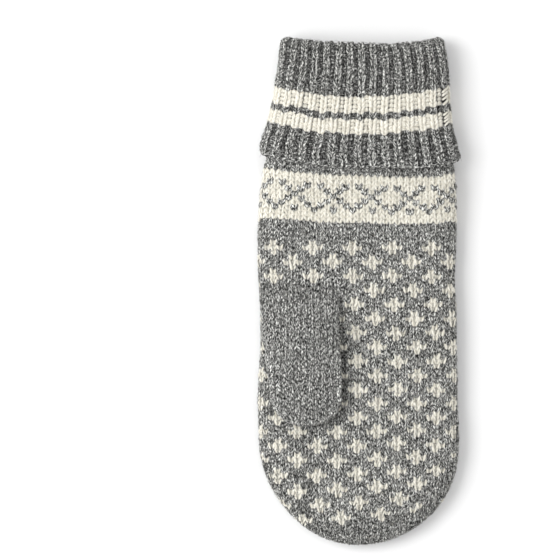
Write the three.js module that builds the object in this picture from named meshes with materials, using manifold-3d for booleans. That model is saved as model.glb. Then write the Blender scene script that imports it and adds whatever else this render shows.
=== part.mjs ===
// A knitted mitten with a turned-back ribbed cuff, lying palm up with its thumb folded
// over the palm. Millimetres, +Z up. The fingers point along -Y and the wrist opens along +Y.
// Three knitted pieces: the hand, a tube closed at the fingertips; the thumb, a smaller
// tube that opens into the palm; and the cuff, a rib that runs in to the wrist, turns over
// at the fold and comes back over the start of the hand.

import * as THREE from 'three';
import { mergeVertices } from 'three/addons/utils/BufferGeometryUtils.js';
import Module from 'manifold-3d';

const wasm = await Module();
wasm.setup();

// Hand: a flattened tube, measured as it lies.
const handLength = 210.8; // from its join with the cuff to the fingertips
const handWidth = 104.2;
const handThickness = 16;
const handWall = 3.2; // two yarns carried through the fabric, milled soft
const tipLength = 57; // the rounded end

// Cuff: two layers of rib, folded at the wrist.
const cuffWidth = 104.5; // at the free edge
const cuffDepth = 62.5; // fold to free edge, along the sides
const ribWall = 2.8;
const ribDepth = 1; // how far a purl column lies below a knit column
const ribCount = 32; // knit columns round the wrist
const layerGap = 0.5; // air between the two layers
const edgeOverlap = 6.4; // how far the free edge's sides reach over the hand
const foldSag = 3; // how far the fold dips towards the fingers at the middle
const edgeSag = 7.6; // and the free edge
const edgeLift = 2.2; // how far the free edge stands up off the palm at one place
const edgeLiftAt = { across: 0.6, reach: 0.3 }; // shares of half the width

// Thumb: a tube picked up round a slit in the palm, lying back over the palm.
const thumbLength = 74; // wrist end of the slit to the thumb's tip
const thumbWidth = 40;
const thumbThickness = 11.5;
const thumbWall = 2.6;
const thumbTip = 17; // its rounded end
const thumbFromJoin = 74; // from the hand's join to the slit's wrist end
const thumbFromCentre = -29; // its middle line, across the palm
const slitLength = 30; // the slit as the thumb holds it open
const slitWidth = 33;
const rampLength = 22; // over which the thumb's upper layer climbs off the palm

const pieceGap = 0.35; // left between pieces that are knitted or sewn together
const underLayers = ribWall + layerGap; // what lies between the hand and the cuff's outside
const soleDrop = 0.19; // share of the hand's length in which the sole, past the cuff, comes down to rest

// How full each flattened section is: 2 is an ellipse, more is squarer.
const crownPower = 3;
const solePower = 5;
const thumbPower = 2.4;
const midShare = 0.42; // height of the widest place in a section
const drapeShare = 0.94; // how closely the thumb follows the palm down at the side

// Outline of the hand. along: share of the hand's length. left and right: shares of half
// its width. high: share of its thickness.
const handOutline = [
  { along: 0.0, left: 0.92, right: 0.925, high: 0.9 },
  { along: 0.03, left: 0.928, right: 0.935, high: 0.9 },
  { along: 0.06, left: 0.962, right: 0.967, high: 0.91 },
  { along: 0.094, left: 0.977, right: 0.969, high: 0.92 },
  { along: 0.153, left: 1.002, right: 0.976, high: 0.94 },
  { along: 0.243, left: 1.018, right: 0.981, high: 0.98 },
  { along: 0.332, left: 1.01, right: 0.957, high: 1.0 },
  { along: 0.42, left: 0.993, right: 0.978, high: 1.0 },
  { along: 0.51, left: 0.99, right: 0.979, high: 0.99 },
  { along: 0.58, left: 1.01, right: 0.99, high: 0.98 },
  { along: 0.64, left: 1.018, right: 0.988, high: 0.96 },
  { along: 0.7, left: 1.008, right: 0.998, high: 0.95 },
  { along: 0.777, left: 1.005, right: 1.008, high: 0.94 },
  { along: 0.86, left: 0.992, right: 1.033, high: 0.92 },
  { along: 0.93, left: 0.975, right: 1.028, high: 0.9 },
  { along: 1.0, left: 0.965, right: 1.025, high: 0.88 },
];

// Soft dents in the hand's upper face, and swells where deep is less than nothing. along
// and across: shares of the length and of half the width. reach: share of the width.
// deep: share of the thickness.
const dents = [
  { along: 0.13, across: 0.35, reach: 0.2, deep: 0.05 },
  { along: 0.3, across: 0.55, reach: 0.22, deep: -0.03 },
  { along: 0.52, across: 0.12, reach: 0.16, deep: 0.06 },
  { along: 0.66, across: -0.5, reach: 0.2, deep: 0.04 },
  { along: 0.8, across: 0.3, reach: 0.22, deep: -0.03 },
];

// Outline of the cuff. along: share of its depth from the fold. left and right: shares of
// half its width at the free edge.
const cuffOutline = [
  { along: 0.0, left: 0.784, right: 0.854 },
  { along: 0.07, left: 0.793, right: 0.872 },
  { along: 0.2, left: 0.809, right: 0.9 },
  { along: 0.35, left: 0.839, right: 0.917 },
  { along: 0.5, left: 0.86, right: 0.923 },
  { along: 0.63, left: 0.899, right: 0.94 },
  { along: 0.74, left: 0.927, right: 0.953 },
  { along: 0.84, left: 0.975, right: 0.98 },
  { along: 0.92, left: 0.996, right: 1.002 },
  { along: 1.0, left: 0.99, right: 1.015 },
];

// Outline of the thumb. along: share of its length. left and right: shares of half its
// width. At the slit its left side runs in to the hand's own side.
const thumbOutline = [
  { along: 0.0, left: 1.17, right: 0.93 },
  { along: 0.22, left: 1.11, right: 0.94 },
  { along: 0.43, left: 1.04, right: 0.965 },
  { along: 0.6, left: 0.955, right: 1.0 },
  { along: 0.75, left: 0.89, right: 1.01 },
  { along: 1.0, left: 0.87, right: 1.1 },
];

// Points round a section. Enough for the shape, and no more.
const handAround = 40;
const pointsPerRib = 3;
const thumbAround = 28;
const finePoints = 160;

const clamp = (v, low, high) => Math.min(high, Math.max(low, v));
const smooth = (t) => {
  const u = clamp(t, 0, 1);
  return u * u * (3 - 2 * u);
};

// Falls from 1 to 0 as t goes from 0 to 1, as a quarter of a round end does.
const roundOff = (t, power) => (1 - clamp(t, 0, 1) ** power) ** (1 / power);

const spread = (count, from, to) =>
  Array.from({ length: count }, (_, i) => from + ((to - from) * i) / (count - 1));

// Reads a table at a place along it, with each column smoothed between its rows.
function readTable(table, along) {
  const last = table.length - 1;
  let i = 0;
  while (i < last - 1 && along > table[i + 1].along) i += 1;
  const [p, a, b, q] = [table[Math.max(0, i - 1)], table[i], table[i + 1], table[Math.min(last, i + 2)]];
  const span = b.along - a.along;
  const t = clamp((along - a.along) / span, 0, 1);
  const row = { along };
  for (const key of Object.keys(a)) {
    if (key === 'along') continue;
    const slope = (u, v) => (v[key] - u[key]) / Math.max(1e-9, v.along - u.along);
    const m0 = slope(p, b) * span;
    const m1 = slope(a, q) * span;
    const t2 = t * t;
    const t3 = t2 * t;
    row[key] =
      (2 * t3 - 3 * t2 + 1) * a[key] + (t3 - 2 * t2 + t) * m0 + (3 * t2 - 2 * t3) * b[key] + (t3 - t2) * m1;
  }
  return row;
}

// A flattened section has left, right, low, high, crown and sole. It is widest at its
// middle height.
const middleOf = (section) => section.low + (section.high - section.low) * midShare;

// How far its crown has risen over a place across it, from 0 at its side to 1.
function crownRise(section, x) {
  return roundOff(Math.abs(x) / (x >= 0 ? section.right : section.left), section.crown);
}

// One point of a section, at an angle from its right-hand side. The sole is pressed flat.
function sectionPoint(section, angle) {
  const c = Math.cos(angle);
  const s = Math.sin(angle);
  const power = s >= 0 ? section.crown : section.sole;
  const mid = middleOf(section);
  const x = Math.sign(c) * Math.abs(c) ** (2 / power) * (c >= 0 ? section.right : section.left);
  const rise = Math.abs(s) ** (2 / power);
  const pressed = Math.min(1, 1.08 * rise);
  return [x, s >= 0 ? mid + rise * (section.high - mid) : mid - pressed * (mid - section.low)];
}

// Points evenly spaced along one half of a section, closer together at its two ends by
// the share tight.
function spacedHalf(section, from, to, count, tight) {
  const points = spread(finePoints, from, to).map((a) => sectionPoint(section, a));
  const run = [0];
  for (let i = 1; i < points.length; i += 1) {
    run.push(run[i - 1] + Math.hypot(points[i][0] - points[i - 1][0], points[i][1] - points[i - 1][1]));
  }
  const total = run[run.length - 1];
  return Array.from({ length: count }, (_, k) => {
    const u = k / count;
    const want = total * (u - (tight * Math.sin(2 * Math.PI * u)) / (2 * Math.PI));
    let i = 1;
    while (i < run.length - 1 && run[i] < want) i += 1;
    const t = (want - run[i - 1]) / Math.max(1e-9, run[i] - run[i - 1]);
    return [0, 1].map((n) => points[i - 1][n] + t * (points[i][n] - points[i - 1][n]));
  });
}

// A whole section: over the crown from right to left, then back along the sole.
function sectionLoop(section, count, tight) {
  return [
    ...spacedHalf(section, 0, Math.PI, count / 2, tight),
    ...spacedHalf(section, Math.PI, 2 * Math.PI, count / 2, tight),
  ];
}

// A closed mesh through rings of equal count. With joined, the last ring meets the first.
// Otherwise each end is closed round the middle of its ring.
function loftGeometry(rings, joined) {
  const count = rings[0].length;
  const positions = rings.flat(2);
  const index = [];
  const last = joined ? rings.length : rings.length - 1;
  for (let r = 0; r < last; r += 1) {
    const a = r * count;
    const b = ((r + 1) % rings.length) * count;
    for (let i = 0; i < count; i += 1) {
      const j = (i + 1) % count;
      index.push(a + i, b + j, b + i, a + i, a + j, b + j);
    }
  }
  if (!joined) {
    [0, rings.length - 1].forEach((r) => {
      const ring = rings[r];
      const hub = positions.length / 3;
      positions.push(...[0, 1, 2].map((n) => ring.reduce((sum, p) => sum + p[n], 0) / count));
      for (let i = 0; i < count; i += 1) {
        const j = (i + 1) % count;
        const [a, b] = [r * count + i, r * count + j];
        index.push(...(r === 0 ? [hub, b, a] : [hub, a, b]));
      }
    });
  }
  const geometry = new THREE.BufferGeometry();
  geometry.setAttribute('position', new THREE.Float32BufferAttribute(positions, 3));
  geometry.setIndex(index);
  return geometry;
}

function toSolid(geometry) {
  const merged = mergeVertices(geometry);
  return new wasm.Manifold(
    new wasm.Mesh({
      numProp: 3,
      vertProperties: new Float32Array(merged.attributes.position.array),
      triVerts: new Uint32Array(merged.index.array),
    }),
  );
}

function toGeometry(solid) {
  const mesh = solid.getMesh();
  const geometry = new THREE.BufferGeometry();
  geometry.setAttribute('position', new THREE.BufferAttribute(new Float32Array(mesh.vertProperties), 3));
  geometry.setIndex(new THREE.BufferAttribute(new Uint32Array(mesh.triVerts), 1));
  return geometry;
}

// Y along the hand: its join with the cuff is at 0 and its tip at -handLength.
const handY = (along) => -pieceGap - along * (handLength - pieceGap);

// Height of the hand's lower face: over the cuff's layers at first, then down at rest.
function soleHeight(along) {
  const pastCuff = along - (edgeOverlap + edgeSag) / handLength;
  return underLayers * (1 - smooth(pastCuff / soleDrop));
}

// The hand's section at a place along it, taken in by inset.
function handSection(along, inset) {
  const row = readTable(handOutline, along);
  const fromTip = (1 - along) * handLength - inset;
  const into = 1 - fromTip / (tipLength - inset);
  const sides = Math.max(0.004, roundOff(into, 2));
  const nose = Math.max(0.004, roundOff(into, crownPower));
  const low = soleHeight(along);
  const full = handThickness * row.high;
  const mid = low + full * midShare;
  return {
    left: ((handWidth / 2) * row.left - inset) * sides,
    right: ((handWidth / 2) * row.right - inset) * sides,
    low: mid - (full * midShare - inset) * nose,
    high: mid + (full * (1 - midShare) - inset) * nose,
    crown: crownPower,
    sole: solePower,
  };
}

// How far the dents lower the hand's upper face at a place.
function dentAt(x, along) {
  return dents.reduce((sum, d) => {
    const dx = x - d.across * (handWidth / 2);
    const dy = (along - d.along) * handLength;
    return sum + d.deep * handThickness * Math.exp(-(dx * dx + dy * dy) / (2 * (d.reach * handWidth) ** 2));
  }, 0);
}

// A ring of the hand, with the dents eased out towards the sides.
function handRing(along, inset) {
  const section = handSection(along, inset);
  const mid = middleOf(section);
  return sectionLoop(section, handAround, 0.45).map(([x, z]) => {
    const rise = (z - mid) / (section.high - mid);
    return [x, handY(along), z - smooth(rise) * dentAt(x, along)];
  });
}

// Height of the hand's upper face over a place in the palm.
function palmTop(x, y) {
  const along = clamp((-pieceGap - y) / (handLength - pieceGap), 0, 1);
  const section = handSection(along, 0);
  const rise = crownRise(section, x);
  return middleOf(section) + rise * (section.high - middleOf(section)) - smooth(rise) * dentAt(x, along);
}

// Places along a closed-ended tube: even at first, then closer as its end rounds off.
function placesAlong(length, roundLength, evenCount, roundCount) {
  const start = 1 - roundLength / length;
  const turns = spread(roundCount + 1, 0, Math.PI / 2).slice(1);
  return [...spread(evenCount, 0, start), ...turns.map((a) => start + (1 - start) * Math.sin(a))];
}

// Hand: inner and outer faces in one run of rings, joined at the open rim.
function handShell() {
  const innerShare = (handLength - handWall) / handLength;
  const inner = placesAlong(handLength, tipLength, 11, 8).map((a) => handRing(a * innerShare, handWall));
  const outer = placesAlong(handLength, tipLength, 21, 11).map((a) => handRing(a, 0));
  return toSolid(loftGeometry([...inner.reverse(), ...outer], false));
}

const thumbY = (run) => -thumbFromJoin - run;
const climb = (run) => smooth(run / rampLength);

// The surface that the thumb lies on: the palm, bridged a little where it falls away.
const seat = (x, y) => palmTop(x * drapeShare, y) + pieceGap;

// The thumb's section at a place from the slit, as if the palm were flat.
function thumbSection(run, inset) {
  const row = readTable(thumbOutline, run / thumbLength);
  const fromTip = thumbLength - inset - run;
  const into = 1 - fromTip / (thumbTip - inset);
  const sides = Math.max(0.01, roundOff(into, 2));
  const nose = Math.max(0.01, roundOff(into, thumbPower));
  const full = Math.max(0.4, thumbThickness * climb(run));
  const mid = full * midShare;
  return {
    left: ((thumbWidth / 2) * row.left - inset) * sides,
    right: ((thumbWidth / 2) * row.right - inset) * sides,
    low: mid - Math.max(0.05, mid - inset) * nose,
    high: mid + Math.max(0.05, full - mid - inset) * nose,
    crown: thumbPower,
    sole: solePower,
  };
}

function thumbRing(run, inset) {
  const y = thumbY(run);
  return sectionLoop(thumbSection(run, inset), thumbAround, 0.3).map(([u, w]) => {
    const x = u + thumbFromCentre;
    return [x, y, w + seat(x, y)];
  });
}

// Height of the thumb's upper face over a place.
function thumbTop(x, y) {
  const section = thumbSection(clamp(thumbY(0) - y, 0, thumbLength), 0);
  const rise = crownRise(section, x - thumbFromCentre);
  return seat(x, y) + middleOf(section) + rise * (section.high - middleOf(section));
}

// A block that fills the slit, straight at the wrist end and rounded towards the
// fingers. grow widens it in plan. topOf and bottomOf give its heights.
function slitBlock(grow, topOf, bottomOf) {
  const across = 12;
  const down = 9;
  const reach = slitLength + grow;
  const rings = spread(down, 0, 1).map((t) => {
    const run = -grow + (reach + grow) * Math.sin((t * Math.PI) / 2);
    const half = (slitWidth / 2 + grow) * Math.max(0.02, roundOff(run / reach, 2));
    const y = thumbY(run);
    const xs = spread(across, thumbFromCentre - half, thumbFromCentre + half);
    const over = [...xs].reverse().map((x) => [x, y, topOf(x, y)]);
    return [...xs.map((x) => [x, y, bottomOf(x, y)]), ...over];
  });
  return toSolid(loftGeometry(rings, false));
}

const belowPalm = (x, y) => palmTop(x, y) - 2 * handWall;

// Thumb: the tube and the root that fills the slit, with one hollow through both.
function buildThumb() {
  const tubePlaces = placesAlong(thumbLength, thumbTip, 11, 7);
  const tube = toSolid(loftGeometry(tubePlaces.map((a) => thumbRing(a * thumbLength, 0)), false));
  const root = slitBlock(
    0,
    (x, y) => Math.max(seat(x, y) + 0.1, (seat(x, y) + thumbTop(x, y)) / 2),
    (x, y) => palmTop(x, y) - handWall,
  );
  // The hollow starts where the upper layer has climbed clear of the palm.
  const hollowFrom = rampLength * 0.7;
  const hollowLength = thumbLength - thumbWall - hollowFrom;
  const hollowPlaces = placesAlong(hollowLength, thumbTip - thumbWall, 6, 5);
  const hollow = toSolid(
    loftGeometry(hollowPlaces.map((a) => thumbRing(hollowFrom + a * hollowLength, thumbWall)), false),
  );
  const rootHollow = slitBlock(-thumbWall, (x, y) => thumbTop(x, y) - thumbWall, belowPalm);
  return toGeometry(tube.add(root).subtract(hollow.add(rootHollow)));
}

function buildHand() {
  return toGeometry(handShell().subtract(slitBlock(pieceGap, () => 2 * handThickness, belowPalm)));
}

// The cuff's section at a place from the fold, taken in by inset.
function cuffSection(along, inset) {
  const row = readTable(cuffOutline, along);
  const full = handThickness * handOutline[0].high + 2 * underLayers;
  return {
    left: (cuffWidth / 2) * row.left - inset,
    right: (cuffWidth / 2) * row.right - inset,
    low: inset,
    high: full - inset,
    crown: crownPower,
    sole: solePower,
  };
}

// A ring of the cuff. valley is how far its purl columns lie in from the ring: positive
// on a face that looks out, negative on one that looks into the hollow. lift is the share
// of edgeLift that it takes.
function cuffRing(along, inset, sag, valley, lift) {
  const section = cuffSection(along, inset);
  const loop = sectionLoop(section, ribCount * pointsPerRib, 0);
  const count = loop.length;
  const mid = middleOf(section);
  const y = (1 - along) * cuffDepth - edgeOverlap;
  return loop.map(([x, z], i) => {
    const [before, after] = [loop[(i + count - 1) % count], loop[(i + 1) % count]];
    const [tx, tz] = [after[0] - before[0], after[1] - before[1]];
    const deep = (i % pointsPerRib === pointsPerRib - 1 ? valley : 0) / Math.hypot(tx, tz);
    const share = x / (x >= 0 ? section.right : section.left);
    const upper = smooth((z - mid) / (section.high - mid));
    const away = (share - edgeLiftAt.across) / edgeLiftAt.reach;
    const up = edgeLift * lift * upper * Math.exp(-away * away);
    return [x - deep * tz, y - sag * (1 - share * share), z + deep * tx + up];
  });
}

// Cuff: one closed run of rings, up the outside, over the fold, down the wrist's hollow to
// the join with the hand, and back between the two layers.
function buildCuff() {
  const through = ribWall + layerGap + ribWall;
  const back = ribWall + layerGap;
  const joinAlong = 1 - edgeOverlap / cuffDepth;
  const outerSag = (along) => foldSag + (edgeSag - foldSag) * along;
  const innerSag = (along) => foldSag * (1 - along / joinAlong);
  const nose = through / 2 / cuffDepth;
  const outside = (along, inset, valley) =>
    cuffRing(along, inset, outerSag(along), valley, smooth((along - 0.78) / 0.22));
  const inside = (along, inset, valley) => cuffRing(along, inset, innerSag(along), valley, 0);
  const rings = [
    outside(1, ribWall * 0.75, 0),
    outside(1, ribWall * 0.25, ribDepth),
    ...spread(7, 0.985, nose).map((a) => outside(a, 0, ribDepth)),
    ...spread(4, 0.2, 0.8).map((turn) => {
      const [rise, out] = [Math.sin(turn * Math.PI), Math.cos(turn * Math.PI)];
      return outside(nose * (1 - rise), (through / 2) * (1 - out), ribDepth * out);
    }),
    ...spread(4, nose, joinAlong).map((a) => inside(a, through, -ribDepth)),
    ...spread(3, joinAlong, 2 * nose).map((a) => inside(a, back, 0)),
    ...[...spread(4, 2 * nose, 0.86), 0.985].map((a) => outside(a, ribWall, 0)),
  ];
  return loftGeometry(rings.reverse(), true);
}

const greyWool = () => new THREE.MeshStandardMaterial({ color: 0x7d7d7a, roughness: 0.95, metalness: 0 });

function pieceMesh(name, geometry, material) {
  const mesh = new THREE.Mesh(geometry, material);
  mesh.name = name;
  return mesh;
}

const mitten = new THREE.Group();
mitten.add(pieceMesh('hand', buildHand(), greyWool()));
mitten.add(pieceMesh('thumb', buildThumb(), greyWool()));
mitten.add(pieceMesh('cuff', buildCuff(), greyWool()));

// The origin is the middle of the mitten's footprint, on the surface that it lies on.
const box = new THREE.Box3().setFromObject(mitten);
mitten.position.set(-(box.min.x + box.max.x) / 2, -(box.min.y + box.max.y) / 2, -box.min.z);

const part = new THREE.Group();
part.add(mitten);

export default part;
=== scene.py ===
import bpy
import numpy as np
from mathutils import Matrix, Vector


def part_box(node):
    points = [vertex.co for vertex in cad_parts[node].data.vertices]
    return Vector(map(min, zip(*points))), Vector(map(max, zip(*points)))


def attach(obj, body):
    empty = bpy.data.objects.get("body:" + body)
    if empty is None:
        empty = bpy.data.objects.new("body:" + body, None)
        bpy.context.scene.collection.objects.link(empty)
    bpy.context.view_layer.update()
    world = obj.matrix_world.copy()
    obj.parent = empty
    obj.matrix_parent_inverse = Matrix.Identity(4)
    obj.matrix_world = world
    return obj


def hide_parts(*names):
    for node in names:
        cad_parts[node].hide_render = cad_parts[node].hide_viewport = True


# A wool mitten knitted in two colours, lying palm up with its ribbed cuff turned back.
# Each stitch is drawn as the two legs of yarn that show, laid over the mitten's shape.
# Lengths are in millimetres. A place on the cloth is s across it and t along it, from
# the join of hand and cuff towards the fingertips.

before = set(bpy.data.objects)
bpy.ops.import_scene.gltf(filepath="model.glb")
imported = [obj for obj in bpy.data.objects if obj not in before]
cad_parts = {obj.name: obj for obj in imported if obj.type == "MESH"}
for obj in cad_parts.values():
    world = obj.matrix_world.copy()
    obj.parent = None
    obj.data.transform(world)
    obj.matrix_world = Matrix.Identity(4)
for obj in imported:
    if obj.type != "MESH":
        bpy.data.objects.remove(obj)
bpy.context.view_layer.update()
print("frame loaded")

dice = np.random.default_rng(7)

# Shapes, as in the solids. A higher crown or sole power makes a section squarer.

hand = {
    "length": 210.8,
    "width": 104.2,
    "thickness": 16,
    "tip": 57,  # length of the rounded end
    "crown": 3,
    "sole": 5,
    "soleDrop": 0.19,  # share of the length in which the sole, past the cuff, comes down to rest
}
handOutline = {
    "along": [0, 0.03, 0.06, 0.094, 0.153, 0.243, 0.332, 0.42, 0.51, 0.58, 0.64, 0.7, 0.777, 0.86, 0.93, 1],
    "left": [
        0.92, 0.928, 0.962, 0.977, 1.002, 1.018, 1.01, 0.993,
        0.99, 1.01, 1.018, 1.008, 1.005, 0.997, 0.985, 0.985,
    ],
    "right": [
        0.925, 0.935, 0.967, 0.976, 0.986, 0.991, 0.974, 0.992,
        0.994, 1.002, 1.002, 1.012, 1.022, 1.05, 1.06, 1.06,
    ],
    "high": [0.9, 0.9, 0.91, 0.92, 0.94, 0.98, 1, 1, 0.99, 0.98, 0.96, 0.95, 0.94, 0.92, 0.9, 0.88],
}
dents = {
    "along": [0.13, 0.3, 0.52, 0.66, 0.8],
    "across": [0.35, 0.55, 0.12, -0.5, 0.3],
    "reach": [0.2, 0.22, 0.16, 0.2, 0.22],
    "deep": [0.05, -0.03, 0.06, 0.04, -0.03],
}
thumb = {
    "length": 74,
    "width": 40,
    "thickness": 11.5,
    "tip": 17,
    "fromJoin": 74,
    "fromCentre": -29,
    "ramp": 22,  # over which its upper layer climbs off the palm
    "crown": 2.4,
    "sole": 5,
    "drape": 0.94,
}
thumbOutline = {
    "along": [0, 0.22, 0.43, 0.6, 0.75, 1],
    "left": [1.17, 1.11, 1.04, 0.955, 0.89, 0.87],
    "right": [0.93, 0.94, 0.965, 1, 1.01, 1.1],
}
cuff = {
    "width": 104.5,
    "depth": 62.5,
    "wall": 2.8,
    "ribs": 32,
    "layerGap": 0.5,
    "overlap": 6.4,
    "foldSag": 3,
    "edgeSag": 7.6,
    "edgeLift": 2.2,
    "liftAcross": 0.6,
    "liftReach": 0.3,
    "liftFrom": 0.78,  # share of the depth past which it lifts
    "hang": (2.7, 0.68, 0.3),  # the free edge over the palm hangs lower: how far, where across, how wide
    "foldDip": (2.4, 0.6, 0.32),  # and so does the fold
    "cornerDrop": (2.6, 0.6),  # the edge's right corner hangs too: how far, from where across
    "crown": 3,
    "sole": 5,
}
cuffOutline = {
    "along": [0, 0.07, 0.2, 0.35, 0.5, 0.63, 0.74, 0.84, 0.92, 1],
    "left": [0.784, 0.793, 0.809, 0.839, 0.86, 0.899, 0.927, 0.975, 0.996, 0.99],
    "right": [0.854, 0.872, 0.9, 0.917, 0.923, 0.94, 0.956, 0.99, 1.016, 1.035],
}
midShare = 0.42  # height of a section's widest place
press = 1.08  # how flat a sole is pressed
pieceGap = 0.35
underLayers = cuff["wall"] + cuff["layerGap"]
through = 2 * cuff["wall"] + cuff["layerGap"]  # both layers of the cuff

# The hand's join with the cuff, on its middle line, in the frame's millimetres
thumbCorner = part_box("thumb")[0][0] * 1000
joinX = thumbCorner + thumb["width"] / 2 * thumbOutline["left"][0] - thumb["fromCentre"]
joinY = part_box("hand")[1][1] * 1000 + pieceGap


def smooth(t):
    u = np.clip(t, 0, 1)
    return u * u * (3 - 2 * u)


def roundOff(t, power):
    return (1 - np.clip(t, 0, 1) ** power) ** (1 / power)


def bell(x, middle, reach):
    return np.exp(-(((x - middle) / reach) ** 2))


def readTable(table, along):
    # a smooth curve through each column's rows
    x = np.array(table["along"], float)
    i = np.clip(np.searchsorted(x, along) - 1, 0, len(x) - 2)
    before, after = np.maximum(i - 1, 0), np.minimum(i + 2, len(x) - 1)
    span = x[i + 1] - x[i]
    u = np.clip((along - x[i]) / span, 0, 1)
    row = {}
    for key, column in table.items():
        v = np.array(column, float)
        rise = (v[i + 1] - v[before]) / (x[i + 1] - x[before]) * span
        fall = (v[after] - v[i]) / (x[after] - x[i]) * span
        row[key] = (
            (2 * u**3 - 3 * u**2 + 1) * v[i]
            + (u**3 - 2 * u**2 + u) * rise
            + (3 * u**2 - 2 * u**3) * v[i + 1]
            + (u**3 - u**2) * fall
        )
    return row


def sectionCurve(power, pressed, flat):
    # from a section's middle round to its side: cloth run, share across and share risen
    angle = np.linspace(np.pi / 2, 0, 600)
    across = np.cos(angle) ** (2 / power)
    rise = np.minimum(1, pressed * np.sin(angle) ** (2 / power))
    step = np.hypot(np.diff(across), np.diff(rise) * flat)
    run = np.concatenate([[0], np.cumsum(step)])
    return {"run": run, "across": across, "rise": rise, "total": run[-1]}


halfHigh = hand["thickness"] / hand["width"] * 2
cuffHigh = (hand["thickness"] * handOutline["high"][0] + 2 * underLayers) / cuff["width"] * 2
thumbHigh = thumb["thickness"] / thumb["width"] * 2
palmCurve = sectionCurve(hand["crown"], 1, halfHigh * (1 - midShare))
backCurve = sectionCurve(hand["sole"], press, halfHigh * midShare)
thumbTopCurve = sectionCurve(thumb["crown"], 1, thumbHigh * (1 - midShare))
thumbUnderCurve = sectionCurve(thumb["sole"], press, thumbHigh * midShare)
cuffTopCurve = sectionCurve(cuff["crown"], 1, cuffHigh * (1 - midShare))
cuffUnderCurve = sectionCurve(cuff["sole"], press, cuffHigh * midShare)


def readCurve(curve, run):
    inside = np.minimum(run, curve["total"])
    return np.interp(inside, curve["run"], curve["across"]), np.interp(inside, curve["run"], curve["rise"])


def dentAt(x, along):
    sunk = 0
    for a, c, reach, deep in zip(dents["along"], dents["across"], dents["reach"], dents["deep"]):
        dx = x - c * hand["width"] / 2
        dy = (along - a) * hand["length"]
        away = (dx**2 + dy**2) / (2 * (reach * hand["width"]) ** 2)
        sunk = sunk + deep * hand["thickness"] * np.exp(-away)
    return sunk


def roundEnded(curve, s, t, half, straight, tip):
    # plan place and rise of cloth that wraps a round-ended outline; past the rim it goes on down
    q = np.abs(s) / (half * curve["total"])
    qt = np.maximum(t - straight, 0) / (tip * curve["total"])
    rho = np.maximum(np.hypot(q, qt), 1e-6)
    across, rise = readCurve(curve, rho * curve["total"])
    x = np.sign(s) * half * across * q / rho
    run = np.minimum(t, straight) + tip * across * qt / rho
    past = np.maximum(rho - 1, 0) * curve["total"] * half
    return x, run, rise, past, rho


def soleHeight(along):
    pastCuff = along - (cuff["overlap"] + cuff["edgeSag"]) / hand["length"]
    return underLayers * (1 - smooth(pastCuff / hand["soleDrop"]))


def halfWidth(part, outline, s, t):
    # half of a piece's width at t along it, on the side of s
    row = readTable(outline, np.clip(t / part["length"], 0, 1))
    return part["width"] / 2 * np.where(s >= 0, row["right"], row["left"])


def handPlan(face, s, t):
    # face is 1 for the palm and -1 for the back
    half = halfWidth(hand, handOutline, s, t)
    curve = palmCurve if face > 0 else backCurve
    return roundEnded(curve, s, t, half, hand["length"] - hand["tip"], hand["tip"])


def thumbPlan(face, s, t):
    half = halfWidth(thumb, thumbOutline, s, t)
    curve = thumbTopCurve if face > 0 else thumbUnderCurve
    return roundEnded(curve, s, t, half, thumb["length"] - thumb["tip"], thumb["tip"])


def handFull(t):
    return hand["thickness"] * readTable(handOutline, np.clip(t / hand["length"], 0, 1))["high"]


def handPoint(face, s, t):
    x, run, rise, past, _ = handPlan(face, s, t)
    along = run / hand["length"]
    full = handFull(t)
    mid = soleHeight(along) + full * midShare
    if face > 0:
        z = mid + rise * full * (1 - midShare) - smooth(rise) * dentAt(x, along) - past
    else:
        z = mid - rise * full * midShare + past
    return np.stack([x, -run, z], -1)


def palmTop(x, y):
    along = np.clip(-y / hand["length"], 0, 1)
    rise = roundOff(np.abs(x) / halfWidth(hand, handOutline, x, -y), hand["crown"])
    full = handFull(-y)
    mid = soleHeight(along) + full * midShare
    return mid + rise * full * (1 - midShare) - smooth(rise) * dentAt(x, along)


def thumbFull(run):
    return np.maximum(0.4, thumb["thickness"] * smooth(run / thumb["ramp"]))


def thumbPoint(face, s, t):
    x, run, rise, past, _ = thumbPlan(face, s, t)
    x = x + thumb["fromCentre"]
    y = -thumb["fromJoin"] - run
    full = thumbFull(run)
    mid = palmTop(x * thumb["drape"], y) + pieceGap + full * midShare
    z = mid + rise * full * (1 - midShare) - past if face > 0 else mid - rise * full * midShare + past
    return np.stack([x, y, z], -1)


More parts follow.
